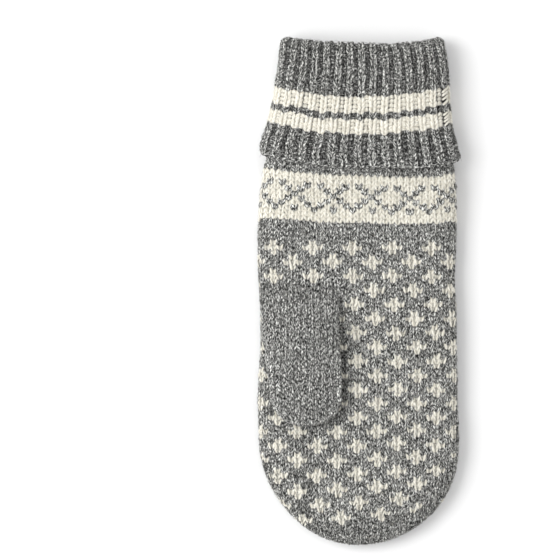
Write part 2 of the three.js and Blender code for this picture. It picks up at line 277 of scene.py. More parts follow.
def cuffPoint(turn, t):
    # turn runs once round, from the right side over the palm to the left and back below.
    # t is 0 at the fold, more down the outer layer and less down the inner one.
    nose = through / 2
    quarter = nose * np.pi / 2
    angle = np.clip(t / nose, -np.pi / 2, np.pi / 2)
    inset = nose * (1 - np.sin(angle))
    down = nose * (1 - np.cos(angle)) + np.maximum(np.abs(t) - quarter, 0)
    along = down / cuff["depth"]
    row = readTable(cuffOutline, np.clip(along, 0, 1))
    right = cuff["width"] / 2 * row["right"] - inset
    left = cuff["width"] / 2 * row["left"] - inset
    turn = turn % 1
    over = turn < 0.5
    share = np.where(over, 2 * turn, 2 * turn - 1)
    pos = np.where(
        over,
        cuffTopCurve["total"] * (right - share * (right + left)),
        cuffUnderCurve["total"] * (share * (right + left) - left),
    )
    half = np.where(pos >= 0, right, left)
    acrossTop, riseTop = readCurve(cuffTopCurve, np.abs(pos) / half)
    acrossUnder, riseUnder = readCurve(cuffUnderCurve, np.abs(pos) / half)
    across = np.where(over, acrossTop, acrossUnder) * np.sign(pos)
    full = hand["thickness"] * handOutline["high"][0] + 2 * underLayers
    mid = inset + (full - 2 * inset) * midShare
    outer = t > 0
    lift = bell(across, cuff["liftAcross"], cuff["liftReach"])
    lift = lift * smooth((along - cuff["liftFrom"]) / (1 - cuff["liftFrom"]))
    up = np.where(outer, cuff["edgeLift"] * lift * smooth(riseTop), 0)
    z = np.where(over, mid + riseTop * (full - inset - mid) + up, mid - riseUnder * (mid - inset))
    joinAlong = 1 - cuff["overlap"] / cuff["depth"]
    outerSag = cuff["foldSag"] + (cuff["edgeSag"] - cuff["foldSag"]) * along
    innerSag = cuff["foldSag"] * np.maximum(0, 1 - along / joinAlong)
    sag = np.where(outer, outerSag, innerSag) * (1 - across**2)
    hangs = ((cuff["hang"], smooth(along) * outer), (cuff["foldDip"], 1 - smooth(3 * along)))
    for (far, middle, wide), fade in hangs:
        sag = sag + over * smooth(riseTop) * fade * far * bell(across, middle, wide)
    drop, start = cuff["cornerDrop"]
    sag = sag + drop * smooth((across - start) / (1 - start)) * smooth(along) * outer
    y = cuff["depth"] - down - cuff["overlap"] - sag
    return np.stack([half * across, y, z], -1)


def offSurface(surface, s, t, h, reach):
    # the point that lies h above the cloth at s and t, which the surface function maps
    point = surface(s, t)
    ds = surface(s + reach[0], t) - surface(s - reach[0], t)
    dt = surface(s, t + reach[1]) - surface(s, t - reach[1])
    normal = np.cross(dt, ds)
    normal /= np.maximum(np.linalg.norm(normal, axis=-1, keepdims=True), 1e-9)
    return point + normal * h[..., None]


def palmCloth(s, t, h):
    return offSurface(lambda a, b: handPoint(1, a, b), s, t, h, (0.1, 0.1))


def backCloth(s, t, h):
    return offSurface(lambda a, b: handPoint(-1, a, b), s, t, -h, (0.1, 0.1))


def thumbTopCloth(s, t, h):
    return offSurface(lambda a, b: thumbPoint(1, a, b), s, t, h, (0.1, 0.1))


def thumbUnderCloth(s, t, h):
    return offSurface(lambda a, b: thumbPoint(-1, a, b), s, t, -h, (0.1, 0.1))


def cuffCloth(turn, t, h):
    return offSurface(cuffPoint, turn, t, -h, (0.0005, 0.1))


# Materials

def linear(hexColour):
    parts = [int(hexColour[i : i + 2], 16) / 255 for i in (1, 3, 5)]
    return tuple(p / 12.92 if p <= 0.04045 else ((p + 0.055) / 1.055) ** 2.4 for p in parts) + (1,)


def addNode(tree, kind, links=None, values=None, **settings):
    node = tree.nodes.new(kind)
    for name, value in settings.items():
        setattr(node, name, value)
    for socket, value in (values or {}).items():
        node.inputs[socket].default_value = value
    for socket, source in (links or {}).items():
        tree.links.new(source, node.inputs[socket])
    return node


def setRamp(node, stops):
    ramp = node.color_ramp
    while len(ramp.elements) < len(stops):
        ramp.elements.new(0.5)
    for element, (place, colour) in zip(ramp.elements, stops):
        element.position = place
        element.color = linear(colour)


def newMaterial(name, roughness, sheen):
    material = bpy.data.materials.new(name)
    material.use_nodes = True
    tree = material.node_tree
    shader = tree.nodes["Principled BSDF"]
    shader.inputs["Roughness"].default_value = roughness
    shader.inputs["IOR"].default_value = 1.55  # wool's keratin
    shader.inputs["Specular IOR Level"].default_value = 0.2
    shader.inputs["Sheen Weight"].default_value = sheen
    shader.inputs["Sheen Roughness"].default_value = 0.6
    return material, tree, shader


heather = {
    "fibreWidth": 0.38,  # mm; real fibres are finer than a pixel, so they are drawn in locks
    "fibreLength": 2,
    "twist": 0.18,  # how far the locks lean round the yarn
    "stops": [(0.388, "#080808"), (0.473, "#3c3c3b"), (0.543, "#7a7a76"), (0.611, "#dededa")],
    "sheen": 0.08,
}
white = {
    "fibreWidth": 0.45,
    "fibreLength": 2.2,
    "twist": 0.35,
    "stops": [(0.3, "#cbc4b3"), (0.5, "#e8e4d8"), (0.66, "#f6f4ea")],
    "sheen": 0.25,
}


def spunWool(name, look):
    # carded wool spun soft and lightly milled: matt, with locks of fibre along the yarn
    material, tree, shader = newMaterial(name, 0.92, look["sheen"])
    place = addNode(tree, "ShaderNodeUVMap", uv_map="yarn")
    lock = addNode(
        tree,
        "ShaderNodeMapping",
        {"Vector": place.outputs["UV"]},
        {"Rotation": (0, 0, look["twist"]), "Scale": (1 / look["fibreWidth"], 1 / look["fibreLength"], 1)},
    )
    fibre = addNode(
        tree,
        "ShaderNodeTexNoise",
        {"Vector": lock.outputs["Vector"]},
        {"Scale": 1, "Detail": 1, "Roughness": 0.6},
        noise_dimensions="2D",
    )
    tone = addNode(tree, "ShaderNodeValToRGB", {"Fac": fibre.outputs["Fac"]})
    setRamp(tone, look["stops"])
    # each point's shade scales the colour: painted shade and highlight on the strands, and a lift or drop
    # in tone for some stitches
    shade = addNode(tree, "ShaderNodeAttribute", attribute_name="shade")
    shaded = addNode(
        tree,
        "ShaderNodeVectorMath",
        {"Vector": tone.outputs["Color"], "Scale": shade.outputs["Fac"]},
        operation="SCALE",
    )
    bump = addNode(
        tree,
        "ShaderNodeBump",
        {"Height": fibre.outputs["Fac"]},
        {"Strength": 0.5, "Distance": 0.15 * 0.001},
    )
    tree.links.new(shaded.outputs["Vector"], shader.inputs["Base Color"])
    tree.links.new(bump.outputs["Normal"], shader.inputs["Normal"])
    return material


def paintedShadeWool(name, dark, light):
    # the strands behind the stitches, painted dark as the shade that they lie in
    material, tree, shader = newMaterial(name, 0.95, 0)
    place = addNode(tree, "ShaderNodeTexCoord")
    noise = addNode(
        tree, "ShaderNodeTexNoise", {"Vector": place.outputs["Object"]}, {"Scale": 900, "Detail": 2}
    )
    tone = addNode(tree, "ShaderNodeValToRGB", {"Fac": noise.outputs["Fac"]})
    setRamp(tone, [(0.35, dark), (0.65, light)])
    tree.links.new(tone.outputs["Color"], shader.inputs["Base Color"])
    return material


greyWool = spunWool("heather grey spun wool", heather)
whiteWool = spunWool("natural white spun wool", white)
paintedShadeGround = paintedShadeWool("strands behind grey stitches in painted shade", "#2c2b2a", "#5b5a57")


# Meshes


def addPiece(name, points, faces, material, maps=None, shade=None):
    # points in millimetres from the join; faces is a list of arrays, one for each face size
    mesh = bpy.data.meshes.new(name)
    where = (np.asarray(points, float) + (joinX, joinY, 0)) * 0.001
    mesh.vertices.add(len(where))
    mesh.vertices.foreach_set("co", where.ravel())
    corners = np.concatenate([f.ravel() for f in faces])
    sizes = np.concatenate([np.full(len(f), f.shape[1]) for f in faces])
    mesh.loops.add(len(corners))
    mesh.loops.foreach_set("vertex_index", corners.astype(np.int32))
    mesh.polygons.add(len(sizes))
    mesh.polygons.foreach_set("loop_start", np.concatenate([[0], np.cumsum(sizes)[:-1]]).astype(np.int32))
    mesh.update(calc_edges=True)
    mesh.polygons.foreach_set("use_smooth", np.ones(len(sizes), bool))
    for key, uv in (maps or {}).items():
        flat = np.concatenate([u.reshape(-1, 2) for u in uv]).astype(np.float32).ravel()
        mesh.uv_layers.new(name=key).data.foreach_set("uv", flat)
    # shade holds painted shade and highlight for each point, and some stitches' tone
    if shade is not None:
        mesh.attributes.new("shade", "FLOAT", "POINT").data.foreach_set("value", shade.astype(np.float32))
    piece = bpy.data.objects.new(name, mesh)
    bpy.context.scene.collection.objects.link(piece)
    mesh.materials.append(material)
    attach(piece, "root")
    return piece


def spindle(sides, shares, girth, size):
    # a closed strand: where its rings lie along it, their girth, and its faces with, for
    # each corner, the share round and along; size is its surface in mm, unrolled
    rings = len(shares) - 2
    last = rings * sides + 1
    tris, triPlaces, quads, quadPlaces = [], [], [], []
    for i in range(sides):
        j = (i + 1) % sides
        u0, u1 = i / sides, (i + 1) / sides
        a = 1 + (rings - 1) * sides
        tris += [[0, 1 + j, 1 + i], [last, a + i, a + j]]
        triPlaces.append([(u0, 0), (u1, shares[1]), (u0, shares[1])])
        triPlaces.append([(u0, 1), (u0, shares[-2]), (u1, shares[-2])])
        for r in range(rings - 1):
            a, b = 1 + r * sides, 1 + (r + 1) * sides
            v0, v1 = shares[r + 1], shares[r + 2]
            quads.append([a + i, a + j, b + j, b + i])
            quadPlaces.append([(u0, v0), (u1, v0), (u1, v1), (u0, v1)])
    faces = [(np.array(tris), np.array(triPlaces))]
    if quads:
        faces.append((np.array(quads), np.array(quadPlaces)))
    return {
        "sides": sides,
        "shares": np.array(shares),
        "girth": np.array(girth),
        "size": size,
        "faces": faces,
        "points": rings * sides + 2,
    }


legShape = spindle(6, [0, 0.14, 0.5, 0.86, 1], [0, 0.9, 1, 0.9, 0], (5.2, 4.4))
headShape = spindle(4, [0, 0.5, 1], [0, 1, 0], (6, 4))
hairShape = spindle(3, [0, 0.1, 0.55, 1], [0, 1, 0.8, 0], (0.4, 3))


paintedStrandShade = (0.28, 0.58, 1)  # painted shade, as shares of its colour, at a strand's underside and ends, its sides and its top, as its round turns from the light


def layStrands(shape, cloth, strands):
    # s0, t0 and s1, t1 are a strand's ends; wide and thick its radii; top the height of
    # its upper side; dip0 and dip1 how far its ends go down; bow and arch how far its
    # middle leaves the straight line, across and along; soft how much of its painted shade is lost
    n = len(strands["s0"])
    v = shape["shares"][None, :]
    bow = np.sin(np.pi * v)
    column = {key: value[:, None] for key, value in strands.items() if isinstance(value, np.ndarray)}
    s = column["s0"] * (1 - v) + column["s1"] * v + column["bow"] * bow
    t = column["t0"] * (1 - v) + column["t1"] * v + column["arch"] * bow
    h = column["top"] - column["thick"]
    h = h - np.where(v < 0.5, column["dip0"], column["dip1"]) * (2 * v - 1) ** 2
    sMm = strands["sMm"]
    ds, dt = (strands["s1"] - strands["s0"]) * sMm, strands["t1"] - strands["t0"]
    size = np.hypot(ds, dt)
    angle = 2 * np.pi * np.arange(shape["sides"]) / shape["sides"]
    girth = shape["girth"][None, 1:-1, None]
    out = np.cos(angle) * column["wide"][:, :, None] * girth
    up = np.sin(angle) * column["thick"][:, :, None] * girth
    ringS = s[:, 1:-1, None] + out * (dt / size / sMm)[:, None, None]
    ringT = t[:, 1:-1, None] - out * (ds / size)[:, None, None]
    ringH = h[:, 1:-1, None] + up
    allS, allT, allH = (
        np.concatenate([ends[:, :1], ring.reshape(n, -1), ends[:, -1:]], 1)
        for ends, ring in ((s, ringS), (t, ringT), (h, ringH))
    )
    # painted shade: a strand's sides, underside and ends are darker than its top
    low, side, high = paintedStrandShade
    rim = np.interp(np.sin(angle), [-1, 0, 0.86], [low, side, high])
    rings = np.repeat(rim[None], len(shape["shares"]) - 2, 0).ravel()
    shade = np.concatenate([[low], rings, [low]])[None]
    shade = (shade + (1 - shade) * column["soft"]) * column["shade"]
    return cloth(allS, allT, allH).reshape(-1, 3), shade.ravel()


def addStrands(name, parts, material):
    # one piece of many strands; each has its own cell in the OFBake map
    parts = [part for part in parts if len(part[2]["s0"])]
    total = sum(len(strands["s0"]) for _, _, strands in parts)
    across = int(np.ceil(np.sqrt(total * 0.5)))
    down = int(np.ceil(total / across))
    points, shades, faces, yarn, baked = [], [], {3: [], 4: []}, {3: [], 4: []}, {3: [], 4: []}
    first, firstPoint = 0, 0
    for shape, cloth, strands in parts:
        n = len(strands["s0"])
        where, shade = layStrands(shape, cloth, strands)
        points.append(where)
        shades.append(shade)
        index = np.arange(n)
        cell = np.stack([(first + index) % across, (first + index) // across], -1)[:, None, None, :]
        away = dice.uniform(0, 100, (n, 1, 1, 2))
        for template, places in shape["faces"]:
            corners = firstPoint + template[None] + shape["points"] * index[:, None, None]
            uv = np.broadcast_to(places[None], (n,) + places.shape)
            if strands["flip"]:
                corners, uv = corners[:, :, ::-1], uv[:, :, ::-1]
            kind = template.shape[1]
            faces[kind].append(corners.reshape(-1, kind))
            yarn[kind].append(uv * shape["size"] + away)
            baked[kind].append((cell + 0.06 + 0.88 * uv) / (across, down))
        first += n
        firstPoint += n * shape["points"]
    kinds = [kind for kind in (4, 3) if faces[kind]]
    maps = {"yarn": [u for k in kinds for u in yarn[k]], "OFBake": [u for k in kinds for u in baked[k]]}
    faces = [f for k in kinds for f in faces[k]]
    return addPiece(name, np.concatenate(points), faces, material, maps, np.concatenate(shades))


# Stitches

gauge = {
    "stitch": 3.48,  # mm across one stitch
    "row": 2.485,
    "firstRow": 54.2,  # from the join to row 0, the first row of dots
    "wide": 0.84,  # half the yarn's width and thickness as it lies
    "thick": 0.72,
    "jitter": 0.13,
    "apart": (0.05, 0.49),  # shares of a stitch from its middle to a leg's two ends
    "reach": (0.86, 0.76),  # shares of a row from its middle to them
    "dip": (0.4, 0.9),  # mm that they go down
    "bow": 0.04,
    "whiteSoft": 0.4,
    "headReach": 0.95,  # half of a head's length in rows, and half of its width in stitches
    "headWide": 0.72,
    "headThick": 0.32,
    "headUnder": 0.8,  # mm that it lies lower than the legs
    # painted shade of a head, which lies in the hollow behind the legs
    "headShade": 0.75,
}


def someStrands(s, t, **more):
    n = len(s)
    strands = {key: np.zeros(n) for key in ("top", "dip0", "dip1", "bow", "arch", "soft")}
    strands.update({"s0": s, "s1": s, "t0": t, "t1": t, "shade": np.ones(n), "sMm": 1.0, "flip": False})
    for key, value in more.items():
        strands[key] = value if key in ("sMm", "flip") else np.broadcast_to(value, n)
    return strands


def only(strands, mask):
    return {k: v[mask] if isinstance(v, np.ndarray) else v for k, v in strands.items()}


def oneLeg(
    s, t, side, size, row,
    apart=gauge["apart"], reach=gauge["reach"], wide=gauge["wide"],
    top=0.0, shade=1.0, rough=1, sMm=1.0, flip=False,
):
    near, far = apart
    low, high = reach
    dip0, dip1 = gauge["dip"]
    shake = dice.normal(0, gauge["jitter"], (7, len(s))) * rough
    return someStrands(
        s,
        t,
        s0=s + (side * near * size + shake[0]) / sMm,
        s1=s + (side * far * size + shake[1]) / sMm,
        t0=t + low * row + shake[2],
        t1=t - high * row + shake[3],
        bow=side * gauge["bow"] * size / sMm,
        wide=wide * (1 + shake[4]),
        thick=gauge["thick"] * (1 + shake[5]),
        top=top + shake[6],
        dip0=dip0,
        dip1=dip1,
        shade=shade,
        sMm=sMm,
        flip=flip,
    )


def stitches(cloth, s, t, mask, size, row, soft=gauge["whiteSoft"], greySoft=0, **more):
    # each stitch's two legs meet towards the fingertips and part towards the wrist, and
    # its head lies behind them
    legs = [oneLeg(s, t, side, size, row, **more) for side in (-1, 1)]
    for leg in legs:
        leg["soft"] = np.where(mask, soft, greySoft)
        leg["shade"] = np.where(mask, 1, leg["shade"])
    sMm, flip, top = more.get("sMm", 1.0), more.get("flip", False), more.get("top", 0.0)
    heads = someStrands(
        s,
        t,
        t0=t + gauge["headReach"] * row,
        t1=t - gauge["headReach"] * row,
        wide=gauge["headWide"] * size,
        thick=gauge["headThick"],
        top=top - gauge["headUnder"],
        shade=gauge["headShade"],
        sMm=sMm,
        flip=flip,
    )

    def chosen(mask):
        shown = [(legShape, cloth, only(leg, mask)) for leg in legs]
        return shown + [(headShape, cloth, only(heads, mask))]

    return chosen(mask), chosen(~mask)


# Charts. Column 0 is a face's middle and row 0 the first row of dots.

band = {
    "first": -15,
    "last": -6,
    "middle": -11,
    "greyShade": 1.32,  # how its grey stitches look
    "greySoft": 0.6,
    "greyWide": 1.05,
    "greyTop": 0.4,
}
dots = {
    "rows": 20,
    "step": 3,
    "repeat": 6,
    "greyShade": 1.17,  # of the grey round them
    "whiteWide": 0.73,  # how their own stitches look
    "whiteSoft": 0.06,
    "whiteNear": 0.13,
    "rough": 1.5,  # how many times as unevenly they lie
}
stars = {"rows": (7, 27, 47), "between": (-3, 17, 37, 57), "side": 13, "sideStep": 6}


def latticeWhite(c, r):
    # a white band with a grey lattice of diamonds, six stitches to the repeat
    away = np.abs((c + 3) % 6 - 3)
    k = r - band["middle"]
    grey = (k == -2) & (away == 1) | (k == -1) & (away == 2) | (k == 0) & (away == 3)
    grey |= (k == 1) & (away == 2) | (k == 2) & (away == 1) | (k == 3) & ((away == 0) | (away == 3))
    return (r >= band["first"]) & (r <= band["last"]) & ~grey


def palmWhite(c, r):
    # dots of five stitches, staggered
    white = latticeWhite(c, r)
    for dr, dc in ((0, 0), (0, 1), (0, -1), (1, 0), (-1, 0)):
        row, column = r + dr, c + dc
        k = row // dots["step"]
        onRow = (row % dots["step"] == 0) & (k >= 0) & (k < dots["rows"])
        white |= onRow & ((column + 3 * (k % 2)) % dots["repeat"] == 0)
    return white


def backWhite(c, r):
    # eight-pointed stars down the middle, with small figures between and beside them
    white = latticeWhite(c, r)
    for middle in stars["rows"]:
        k = np.abs(r - middle)
        low, high = np.minimum(np.abs(c), k), np.maximum(np.abs(c), k)
        white |= (low >= 1) & (low <= 4) & (high >= low + 1) & (high <= low + 5)
        white |= (low == 0) & (high == 1)
    for middle in stars["between"]:
        k = np.abs(r - middle)
        white |= (np.abs(c) + k <= 1) & (middle > 0)
        out = np.abs(np.abs(c) - 8)
        white |= (out <= 1) & (k <= 1) & (out == k)
    out = np.abs(np.abs(c) - stars["side"])
    k = np.abs((r + 2) % stars["sideStep"] - 3)
    white |= (out + k == 1) & (r > band["last"] + 1)
    return white


# How the courses and columns lie on the cloth, all in mm

handGrid = {"columns": (-17, 18), "rows": (-22, 68), "rim": 1.03, "fromJoin": 1.5}
columnDraw = {"t": [0, 30, 50], "share": [0.96, 0.965, 1]}  # they draw together by the cuff
columnDrift = {
    "t": [0, 69, 84, 99, 121, 151, 173, 181, 189, 200, 215],
    "s": [-3.3, -3.3, -2.3, -1.3, -0.3, -0.85, -1, -0.7, 0.5, 1.5, 2.2],
}
columnSpread = {"c": [-17, 0, 17], "share": [1, 1, 0.988]}
bulge = {"s": 25, "t": 162, "wide": 13, "long": 17, "far": 1.9}  # courses rise by far round s and t
rowDrift = {"t": [0, 110, 140, 190, 215], "back": [0, 0, 0.3, 0.8, 0.8]}
tipTilt = {"t": [0, 165, 182, 195, 215], "slope": [0, 0, 0.07, 0.1, 0.1]}  # courses drop to the left
firstCourses = {  # how far they hang at places across, where the cuff holds them
    "s": [-52, -47.5, -35, -16, 0, 22, 41, 47, 52],
    "hang": [-3.6, -3.1, -1.2, 0.3, 0.9, 1.7, 1.6, 0, -0.5],
    "t": [14, 41, 54],
    "share": [1, 0.65, 0],
}


def wander(s, t):
    # slow unevenness of hand-finished knitting
    ds = 0.28 * np.sin(0.19 * t + 0.07 * s) * np.cos(0.11 * s - 0.5)
    dt = 0.3 * np.sin(0.17 * s + 1.3) * np.cos(0.09 * t + 0.4) + 0.12 * np.sin(0.61 * s + 0.2 * t)
    return ds, dt


def handStitches(face):
    columns, rows = np.arange(*handGrid["columns"]), np.arange(*handGrid["rows"])
    c, r = (a.ravel() for a in np.meshgrid(columns, rows, indexing="ij"))
    t = gauge["firstRow"] + gauge["row"] * r
    s = c * gauge["stitch"] * np.interp(c, columnSpread["c"], columnSpread["share"])
    s = s * np.interp(t, columnDraw["t"], columnDraw["share"])
    if face > 0:
        s = s + np.interp(t, columnDrift["t"], columnDrift["s"])
        near = ((s - bulge["s"]) / bulge["wide"]) ** 2 + ((t - bulge["t"]) / bulge["long"]) ** 2
        t = t - np.interp(t, rowDrift["t"], rowDrift["back"]) - bulge["far"] * np.exp(-near)
        t = t - np.interp(t, tipTilt["t"], tipTilt["slope"]) * s
        hang = np.interp(s, firstCourses["s"], firstCourses["hang"])
        t = t + hang * np.interp(t, firstCourses["t"], firstCourses["share"])
    ds, dt = wander(s, t)
    s, t = s + ds, t + dt
    rho = handPlan(face, s, t)[4]
    shown = (rho < handGrid["rim"]) & (t > handGrid["fromJoin"])
    return c[shown], r[shown], s[shown], t[shown], rho[shown]


def overThumb(s, t):
    # where a place on the palm lies in the thumb's outline: along it, what is left to its
    # tip, and how far inside its side
    run = t - thumb["fromJoin"]
    x = s - thumb["fromCentre"]
    half = halfWidth(thumb, thumbOutline, x, run)
    left = thumb["length"] - run
    return run, left, half * roundOff(1 - left / thumb["tip"], 2) - np.abs(x)


def underThumb(s, t, fromRoot, fromEdge):
    run, left, inside = overThumb(s, t)
    return (run > fromRoot) & (left > fromEdge) & (inside > fromEdge)


def chartLook(r, isWhite, plain=False):
    # the lattice's grey stitches lie over the white ones, and the dots' white ones are thin
    # and uneven among the grey
    inBand = (r >= band["first"]) & (r <= band["last"])
    inLattice, inDots = inBand & ~isWhite, isWhite & ~inBand
    return {
        "shade": np.where(inLattice, band["greyShade"], np.where(plain, 1, dots["greyShade"])),
        "soft": np.where(inDots, dots["whiteSoft"], gauge["whiteSoft"]),
        "greySoft": np.where(inLattice, band["greySoft"], 0),
        "wide": np.where(inLattice, band["greyWide"], np.where(inDots, dots["whiteWide"], gauge["wide"])),
        "top": np.where(inLattice, band["greyTop"], 0),
        "rough": np.where(inDots, dots["rough"], 1),
        "apart": (np.where(inDots, dots["whiteNear"], gauge["apart"][0]), gauge["apart"][1]),
    }


thumbEdge = {
    "paintedCreaseShadow": 0.34,  # painted shadow: share of light that the palm's stitches beside the thumb lose
    "creasePlace": -2.2,
    "creaseReach": 2.4,
    "right": (18, 12),  # on the right it starts this far from the root, and grows over this
    "left": (14, 8),  # and on the left this far from the tip
    "rim": 0.5,  # painted highlight: share by which the stitches round the thumb's edge gain light
    "farSide": 1.4,  # and more on the side that turns from the light
    "rimPlace": 0.85,
    "rimReach": 0.07,
    "rimFrom": (20, 25),
}
plainRoot = {"run": (-1.5, 12), "inside": -2}  # round the thumb's root no dots show
plainTip = {"t": 165, "rho": 0.82}  # nor at the right edge by the fingertips

c, r, s, t, rho = handStitches(1)
run, left, inside = overThumb(s, t)
shown = ~underThumb(s, t, 7, 6)
start, end = plainRoot["run"]
plain = (run > start) & (run < end) & (inside > plainRoot["inside"])
plain |= (t > plainTip["t"]) & (s > 0) & (rho > plainTip["rho"])
lower = r >= dots["rows"] * dots["step"] - 2  # past the last dots
(fromRoot, overRoot), (fromTip, overTip) = thumbEdge["right"], thumbEdge["left"]
onRight = s > thumb["fromCentre"]
# painted shadow on the palm's stitches beside the thumb's right side and near its tip
beside = np.where(onRight, smooth((run - fromRoot) / overRoot), smooth((fromTip - left) / overTip))
dark = bell(inside, thumbEdge["creasePlace"], thumbEdge["creaseReach"])
paintedCreaseShadow = 1 - thumbEdge["paintedCreaseShadow"] * beside * dark
c, r, s, t, plain, lower, paintedCreaseShadow = (values[shown] for values in (c, r, s, t, plain, lower, paintedCreaseShadow))
isWhite = palmWhite(c, r) & ~plain
look = chartLook(r, isWhite, plain | lower)
look["shade"] = look["shade"] * paintedCreaseShadow
whites, greys = stitches(palmCloth, s, t, isWhite, gauge["stitch"], gauge["row"], **look)
addStrands("palm_grey", greys, greyWool)
addStrands("palm_white", whites, whiteWool)
c, r, s, t, _ = handStitches(-1)
isWhite = backWhite(c, r)
whites, greys = stitches(
    backCloth, s, t, isWhite, gauge["stitch"], gauge["row"], flip=True, **chartLook(r, isWhite)
)
addStrands("back_grey", greys, greyWool)
addStrands("back_white", whites, whiteWool)
print("hand knitted")

thumbRoot = {
    "sunk": 1.7,  # mm that its first rows lie below the thumb's surface, under the palm's
    "rise": (2, 11),  # mm from the root over which they come up
    "shade": 1.1,  # painted light: it lies nearer the lamp
    "aside": -1.45,  # mm that puts its columns in line with the palm's
    "down": 0.08,
}
thumbGrid = {
    "columns": (-8, 9),
    "rows": (1, 35),
    "rim": 1.02,
    "under": (0.6, 9),  # on its underside only stitches past this share and this far along show
}


def thumbStitches(face):
    columns, rows = np.arange(*thumbGrid["columns"]), np.arange(*thumbGrid["rows"])
    c, r = (a.ravel() for a in np.meshgrid(columns, rows, indexing="ij"))
    s = c * gauge["stitch"] + thumbRoot["aside"]
    t = gauge["row"] * r + thumbRoot["down"]
    ds, dt = wander(s + 40, t + 90)
    s, t = s + ds, t + dt
    rho = thumbPlan(face, s, t)[4]
    inner, start = thumbGrid["under"]
    shown = (rho < thumbGrid["rim"]) & ((face > 0) | (rho > inner) & (t > start))
    s, t, rho = s[shown], t[shown], rho[shown]
    low, high = thumbRoot["rise"]
    top = -thumbRoot["sunk"] * (1 - smooth((t - low) / (high - low)))
    # painted highlight on the stitches round the thumb's edge
    start, over = thumbEdge["rimFrom"]
    rim = bell(rho, thumbEdge["rimPlace"], thumbEdge["rimReach"]) * smooth((t - start) / over)
    rim = rim * np.where(s > 0, thumbEdge["farSide"], 1)
    return s, t, np.zeros(len(s), bool), top, thumbRoot["shade"] * (1 + thumbEdge["rim"] * rim)


parts = []
for face, cloth in ((1, thumbTopCloth), (-1, thumbUnderCloth)):
    s, t, isWhite, top, shade = thumbStitches(face)
    _, greys = stitches(
        cloth, s, t, isWhite, gauge["stitch"], gauge["row"], top=top, shade=shade, flip=face < 0
    )
    parts += greys
addStrands("thumb_stitches", parts, greyWool)
print("thumb knitted")

rib = {
    "rows": 32,
    "row": 1.94,
    "whiteRows": (14, 15, 16, 17, 20, 21, 22, 23),
    "innerRows": 14,
    "apart": (0.1, 0.52),
    "reach": (1, 0.8),
    "drift": {  # mm that rows lie off even rows
        "row": [0, 14, 18, 20, 24, 32],
        "t": [0, 1.35, 1.75, 0.95, 0, 0],
    },
    "across": {  # and how far they rise at the sides; place is 1 at the right side and -1 at the left
        "place": [-1, -0.9, -0.7, -0.5, 0.2, 0.45, 0.6, 0.8, 1],
        "rise": [1.3, 0.6, 0.5, 0, 0, 1, 1.5, 1.5, 2.2],
        "row": [0, 10, 26, 32],
        "share": [0, 1, 1, 0],
    },
    "knit": 1 / 6,  # where its knit and its purl column lie, in shares of the pitch
    "purl": 4 / 6,
    "stitch": 3.6,
    "wide": 0.98,
    "shade": 1.18,
    "whiteSoft": 0.72,
    "round": 230,  # mm round the cuff, to turn lengths into shares of a turn
}
purl = {  # a pair is for the grey and for the white
    "half": 1.75,  # mm from a bump's middle to its ends
    "down": 0.45,
    "arch": -0.85,
    "wide": (1.05, 1.13),
    "thick": 0.55,
    "top": (-0.85, -0.75),
    "dip": 0.5,
    # painted shade of the purl bumps, which lie deep in the furrows between the ribs; the grey ones darker
    "shade": (0.66, 0.95),
    "headHalf": 1.9,
    "headWide": 2.2,
    "headThick": 0.3,
    "headTop": -0.95,
}
seam = {
    "turn": 0.033,  # its place round the cuff
    "half": (2.6, 1.2),  # mm from a strand's middle to its ends, round and along
    "wide": 0.7,
    "thick": 0.5,
    "top": 0.1,
    "clear": 1.4,  # mm from it to the nearest column of white stitches
    "soft": 0.4,
}


def ribRow(turn, row):
    # how far from the fold a row lies
    place = np.abs(4 * (turn % 1) - 2) - 1
    rise = np.interp(place, rib["across"]["place"], rib["across"]["rise"])
    fade = np.interp(row, rib["across"]["row"], rib["across"]["share"])
    drift = np.interp(row + 0.5, rib["drift"]["row"], rib["drift"]["t"])
    return (row + 0.5) * rib["row"] + drift - fade * rise


def ribStitches(k):
    # k is a rib's number plus its share of the pitch; one stitch for each row
    rows = np.arange(-rib["innerRows"], rib["rows"])
    columns, row = (a.ravel() for a in np.meshgrid(np.arange(cuff["ribs"]), rows, indexing="ij"))
    t = ribRow((columns + k) / cuff["ribs"], row)
    sway = 0.25 * np.sin(0.11 * t + 1.7 * columns) + 0.12 * np.sin(0.23 * t + 2.9 * columns)
    lag = 0.3 * np.sin(2.3 * columns + 1) + 0.2 * np.sin(0.2 * t + 5.1 * columns)
    return (columns + k) / cuff["ribs"] + sway / rib["round"], t + lag, row


def byColour(isWhite, pair):
    return np.where(isWhite, pair[1], pair[0])


turn, t, row = ribStitches(rib["knit"])
shown = (np.abs(turn - seam["turn"]) * rib["round"] > seam["clear"]) | ~np.isin(row, rib["whiteRows"])
turn, t, row = turn[shown], t[shown], row[shown]
isWhite = np.isin(row, rib["whiteRows"])
whites, greys = stitches(
    cuffCloth,
    turn,
    t,
    isWhite,
    rib["stitch"],
    rib["row"],
    sMm=rib["round"],
    flip=True,
    apart=rib["apart"],
    reach=rib["reach"],
    wide=rib["wide"],
    shade=rib["shade"],
    soft=rib["whiteSoft"],
)
turn, t, row = ribStitches(rib["purl"])
isWhite = np.isin(row, rib["whiteRows"])
purlPaintedShade = byColour(isWhite, purl["shade"])
shake = dice.normal(0, gauge["jitter"], (6, len(turn)))
purls = someStrands(
    turn,
    t,
    s0=turn - (purl["half"] + shake[0]) / rib["round"],
    s1=turn + (purl["half"] + shake[1]) / rib["round"],
    t0=t + purl["down"] + shake[2],
    t1=t + purl["down"] + shake[3],
    arch=purl["arch"],
    wide=byColour(isWhite, purl["wide"]) * (1 + shake[4]),
    thick=purl["thick"],
    top=byColour(isWhite, purl["top"]) + shake[5],
    dip0=purl["dip"],
    dip1=purl["dip"],
    shade=purlPaintedShade,
    soft=isWhite * rib["whiteSoft"],
    sMm=rib["round"],
    flip=True,
)
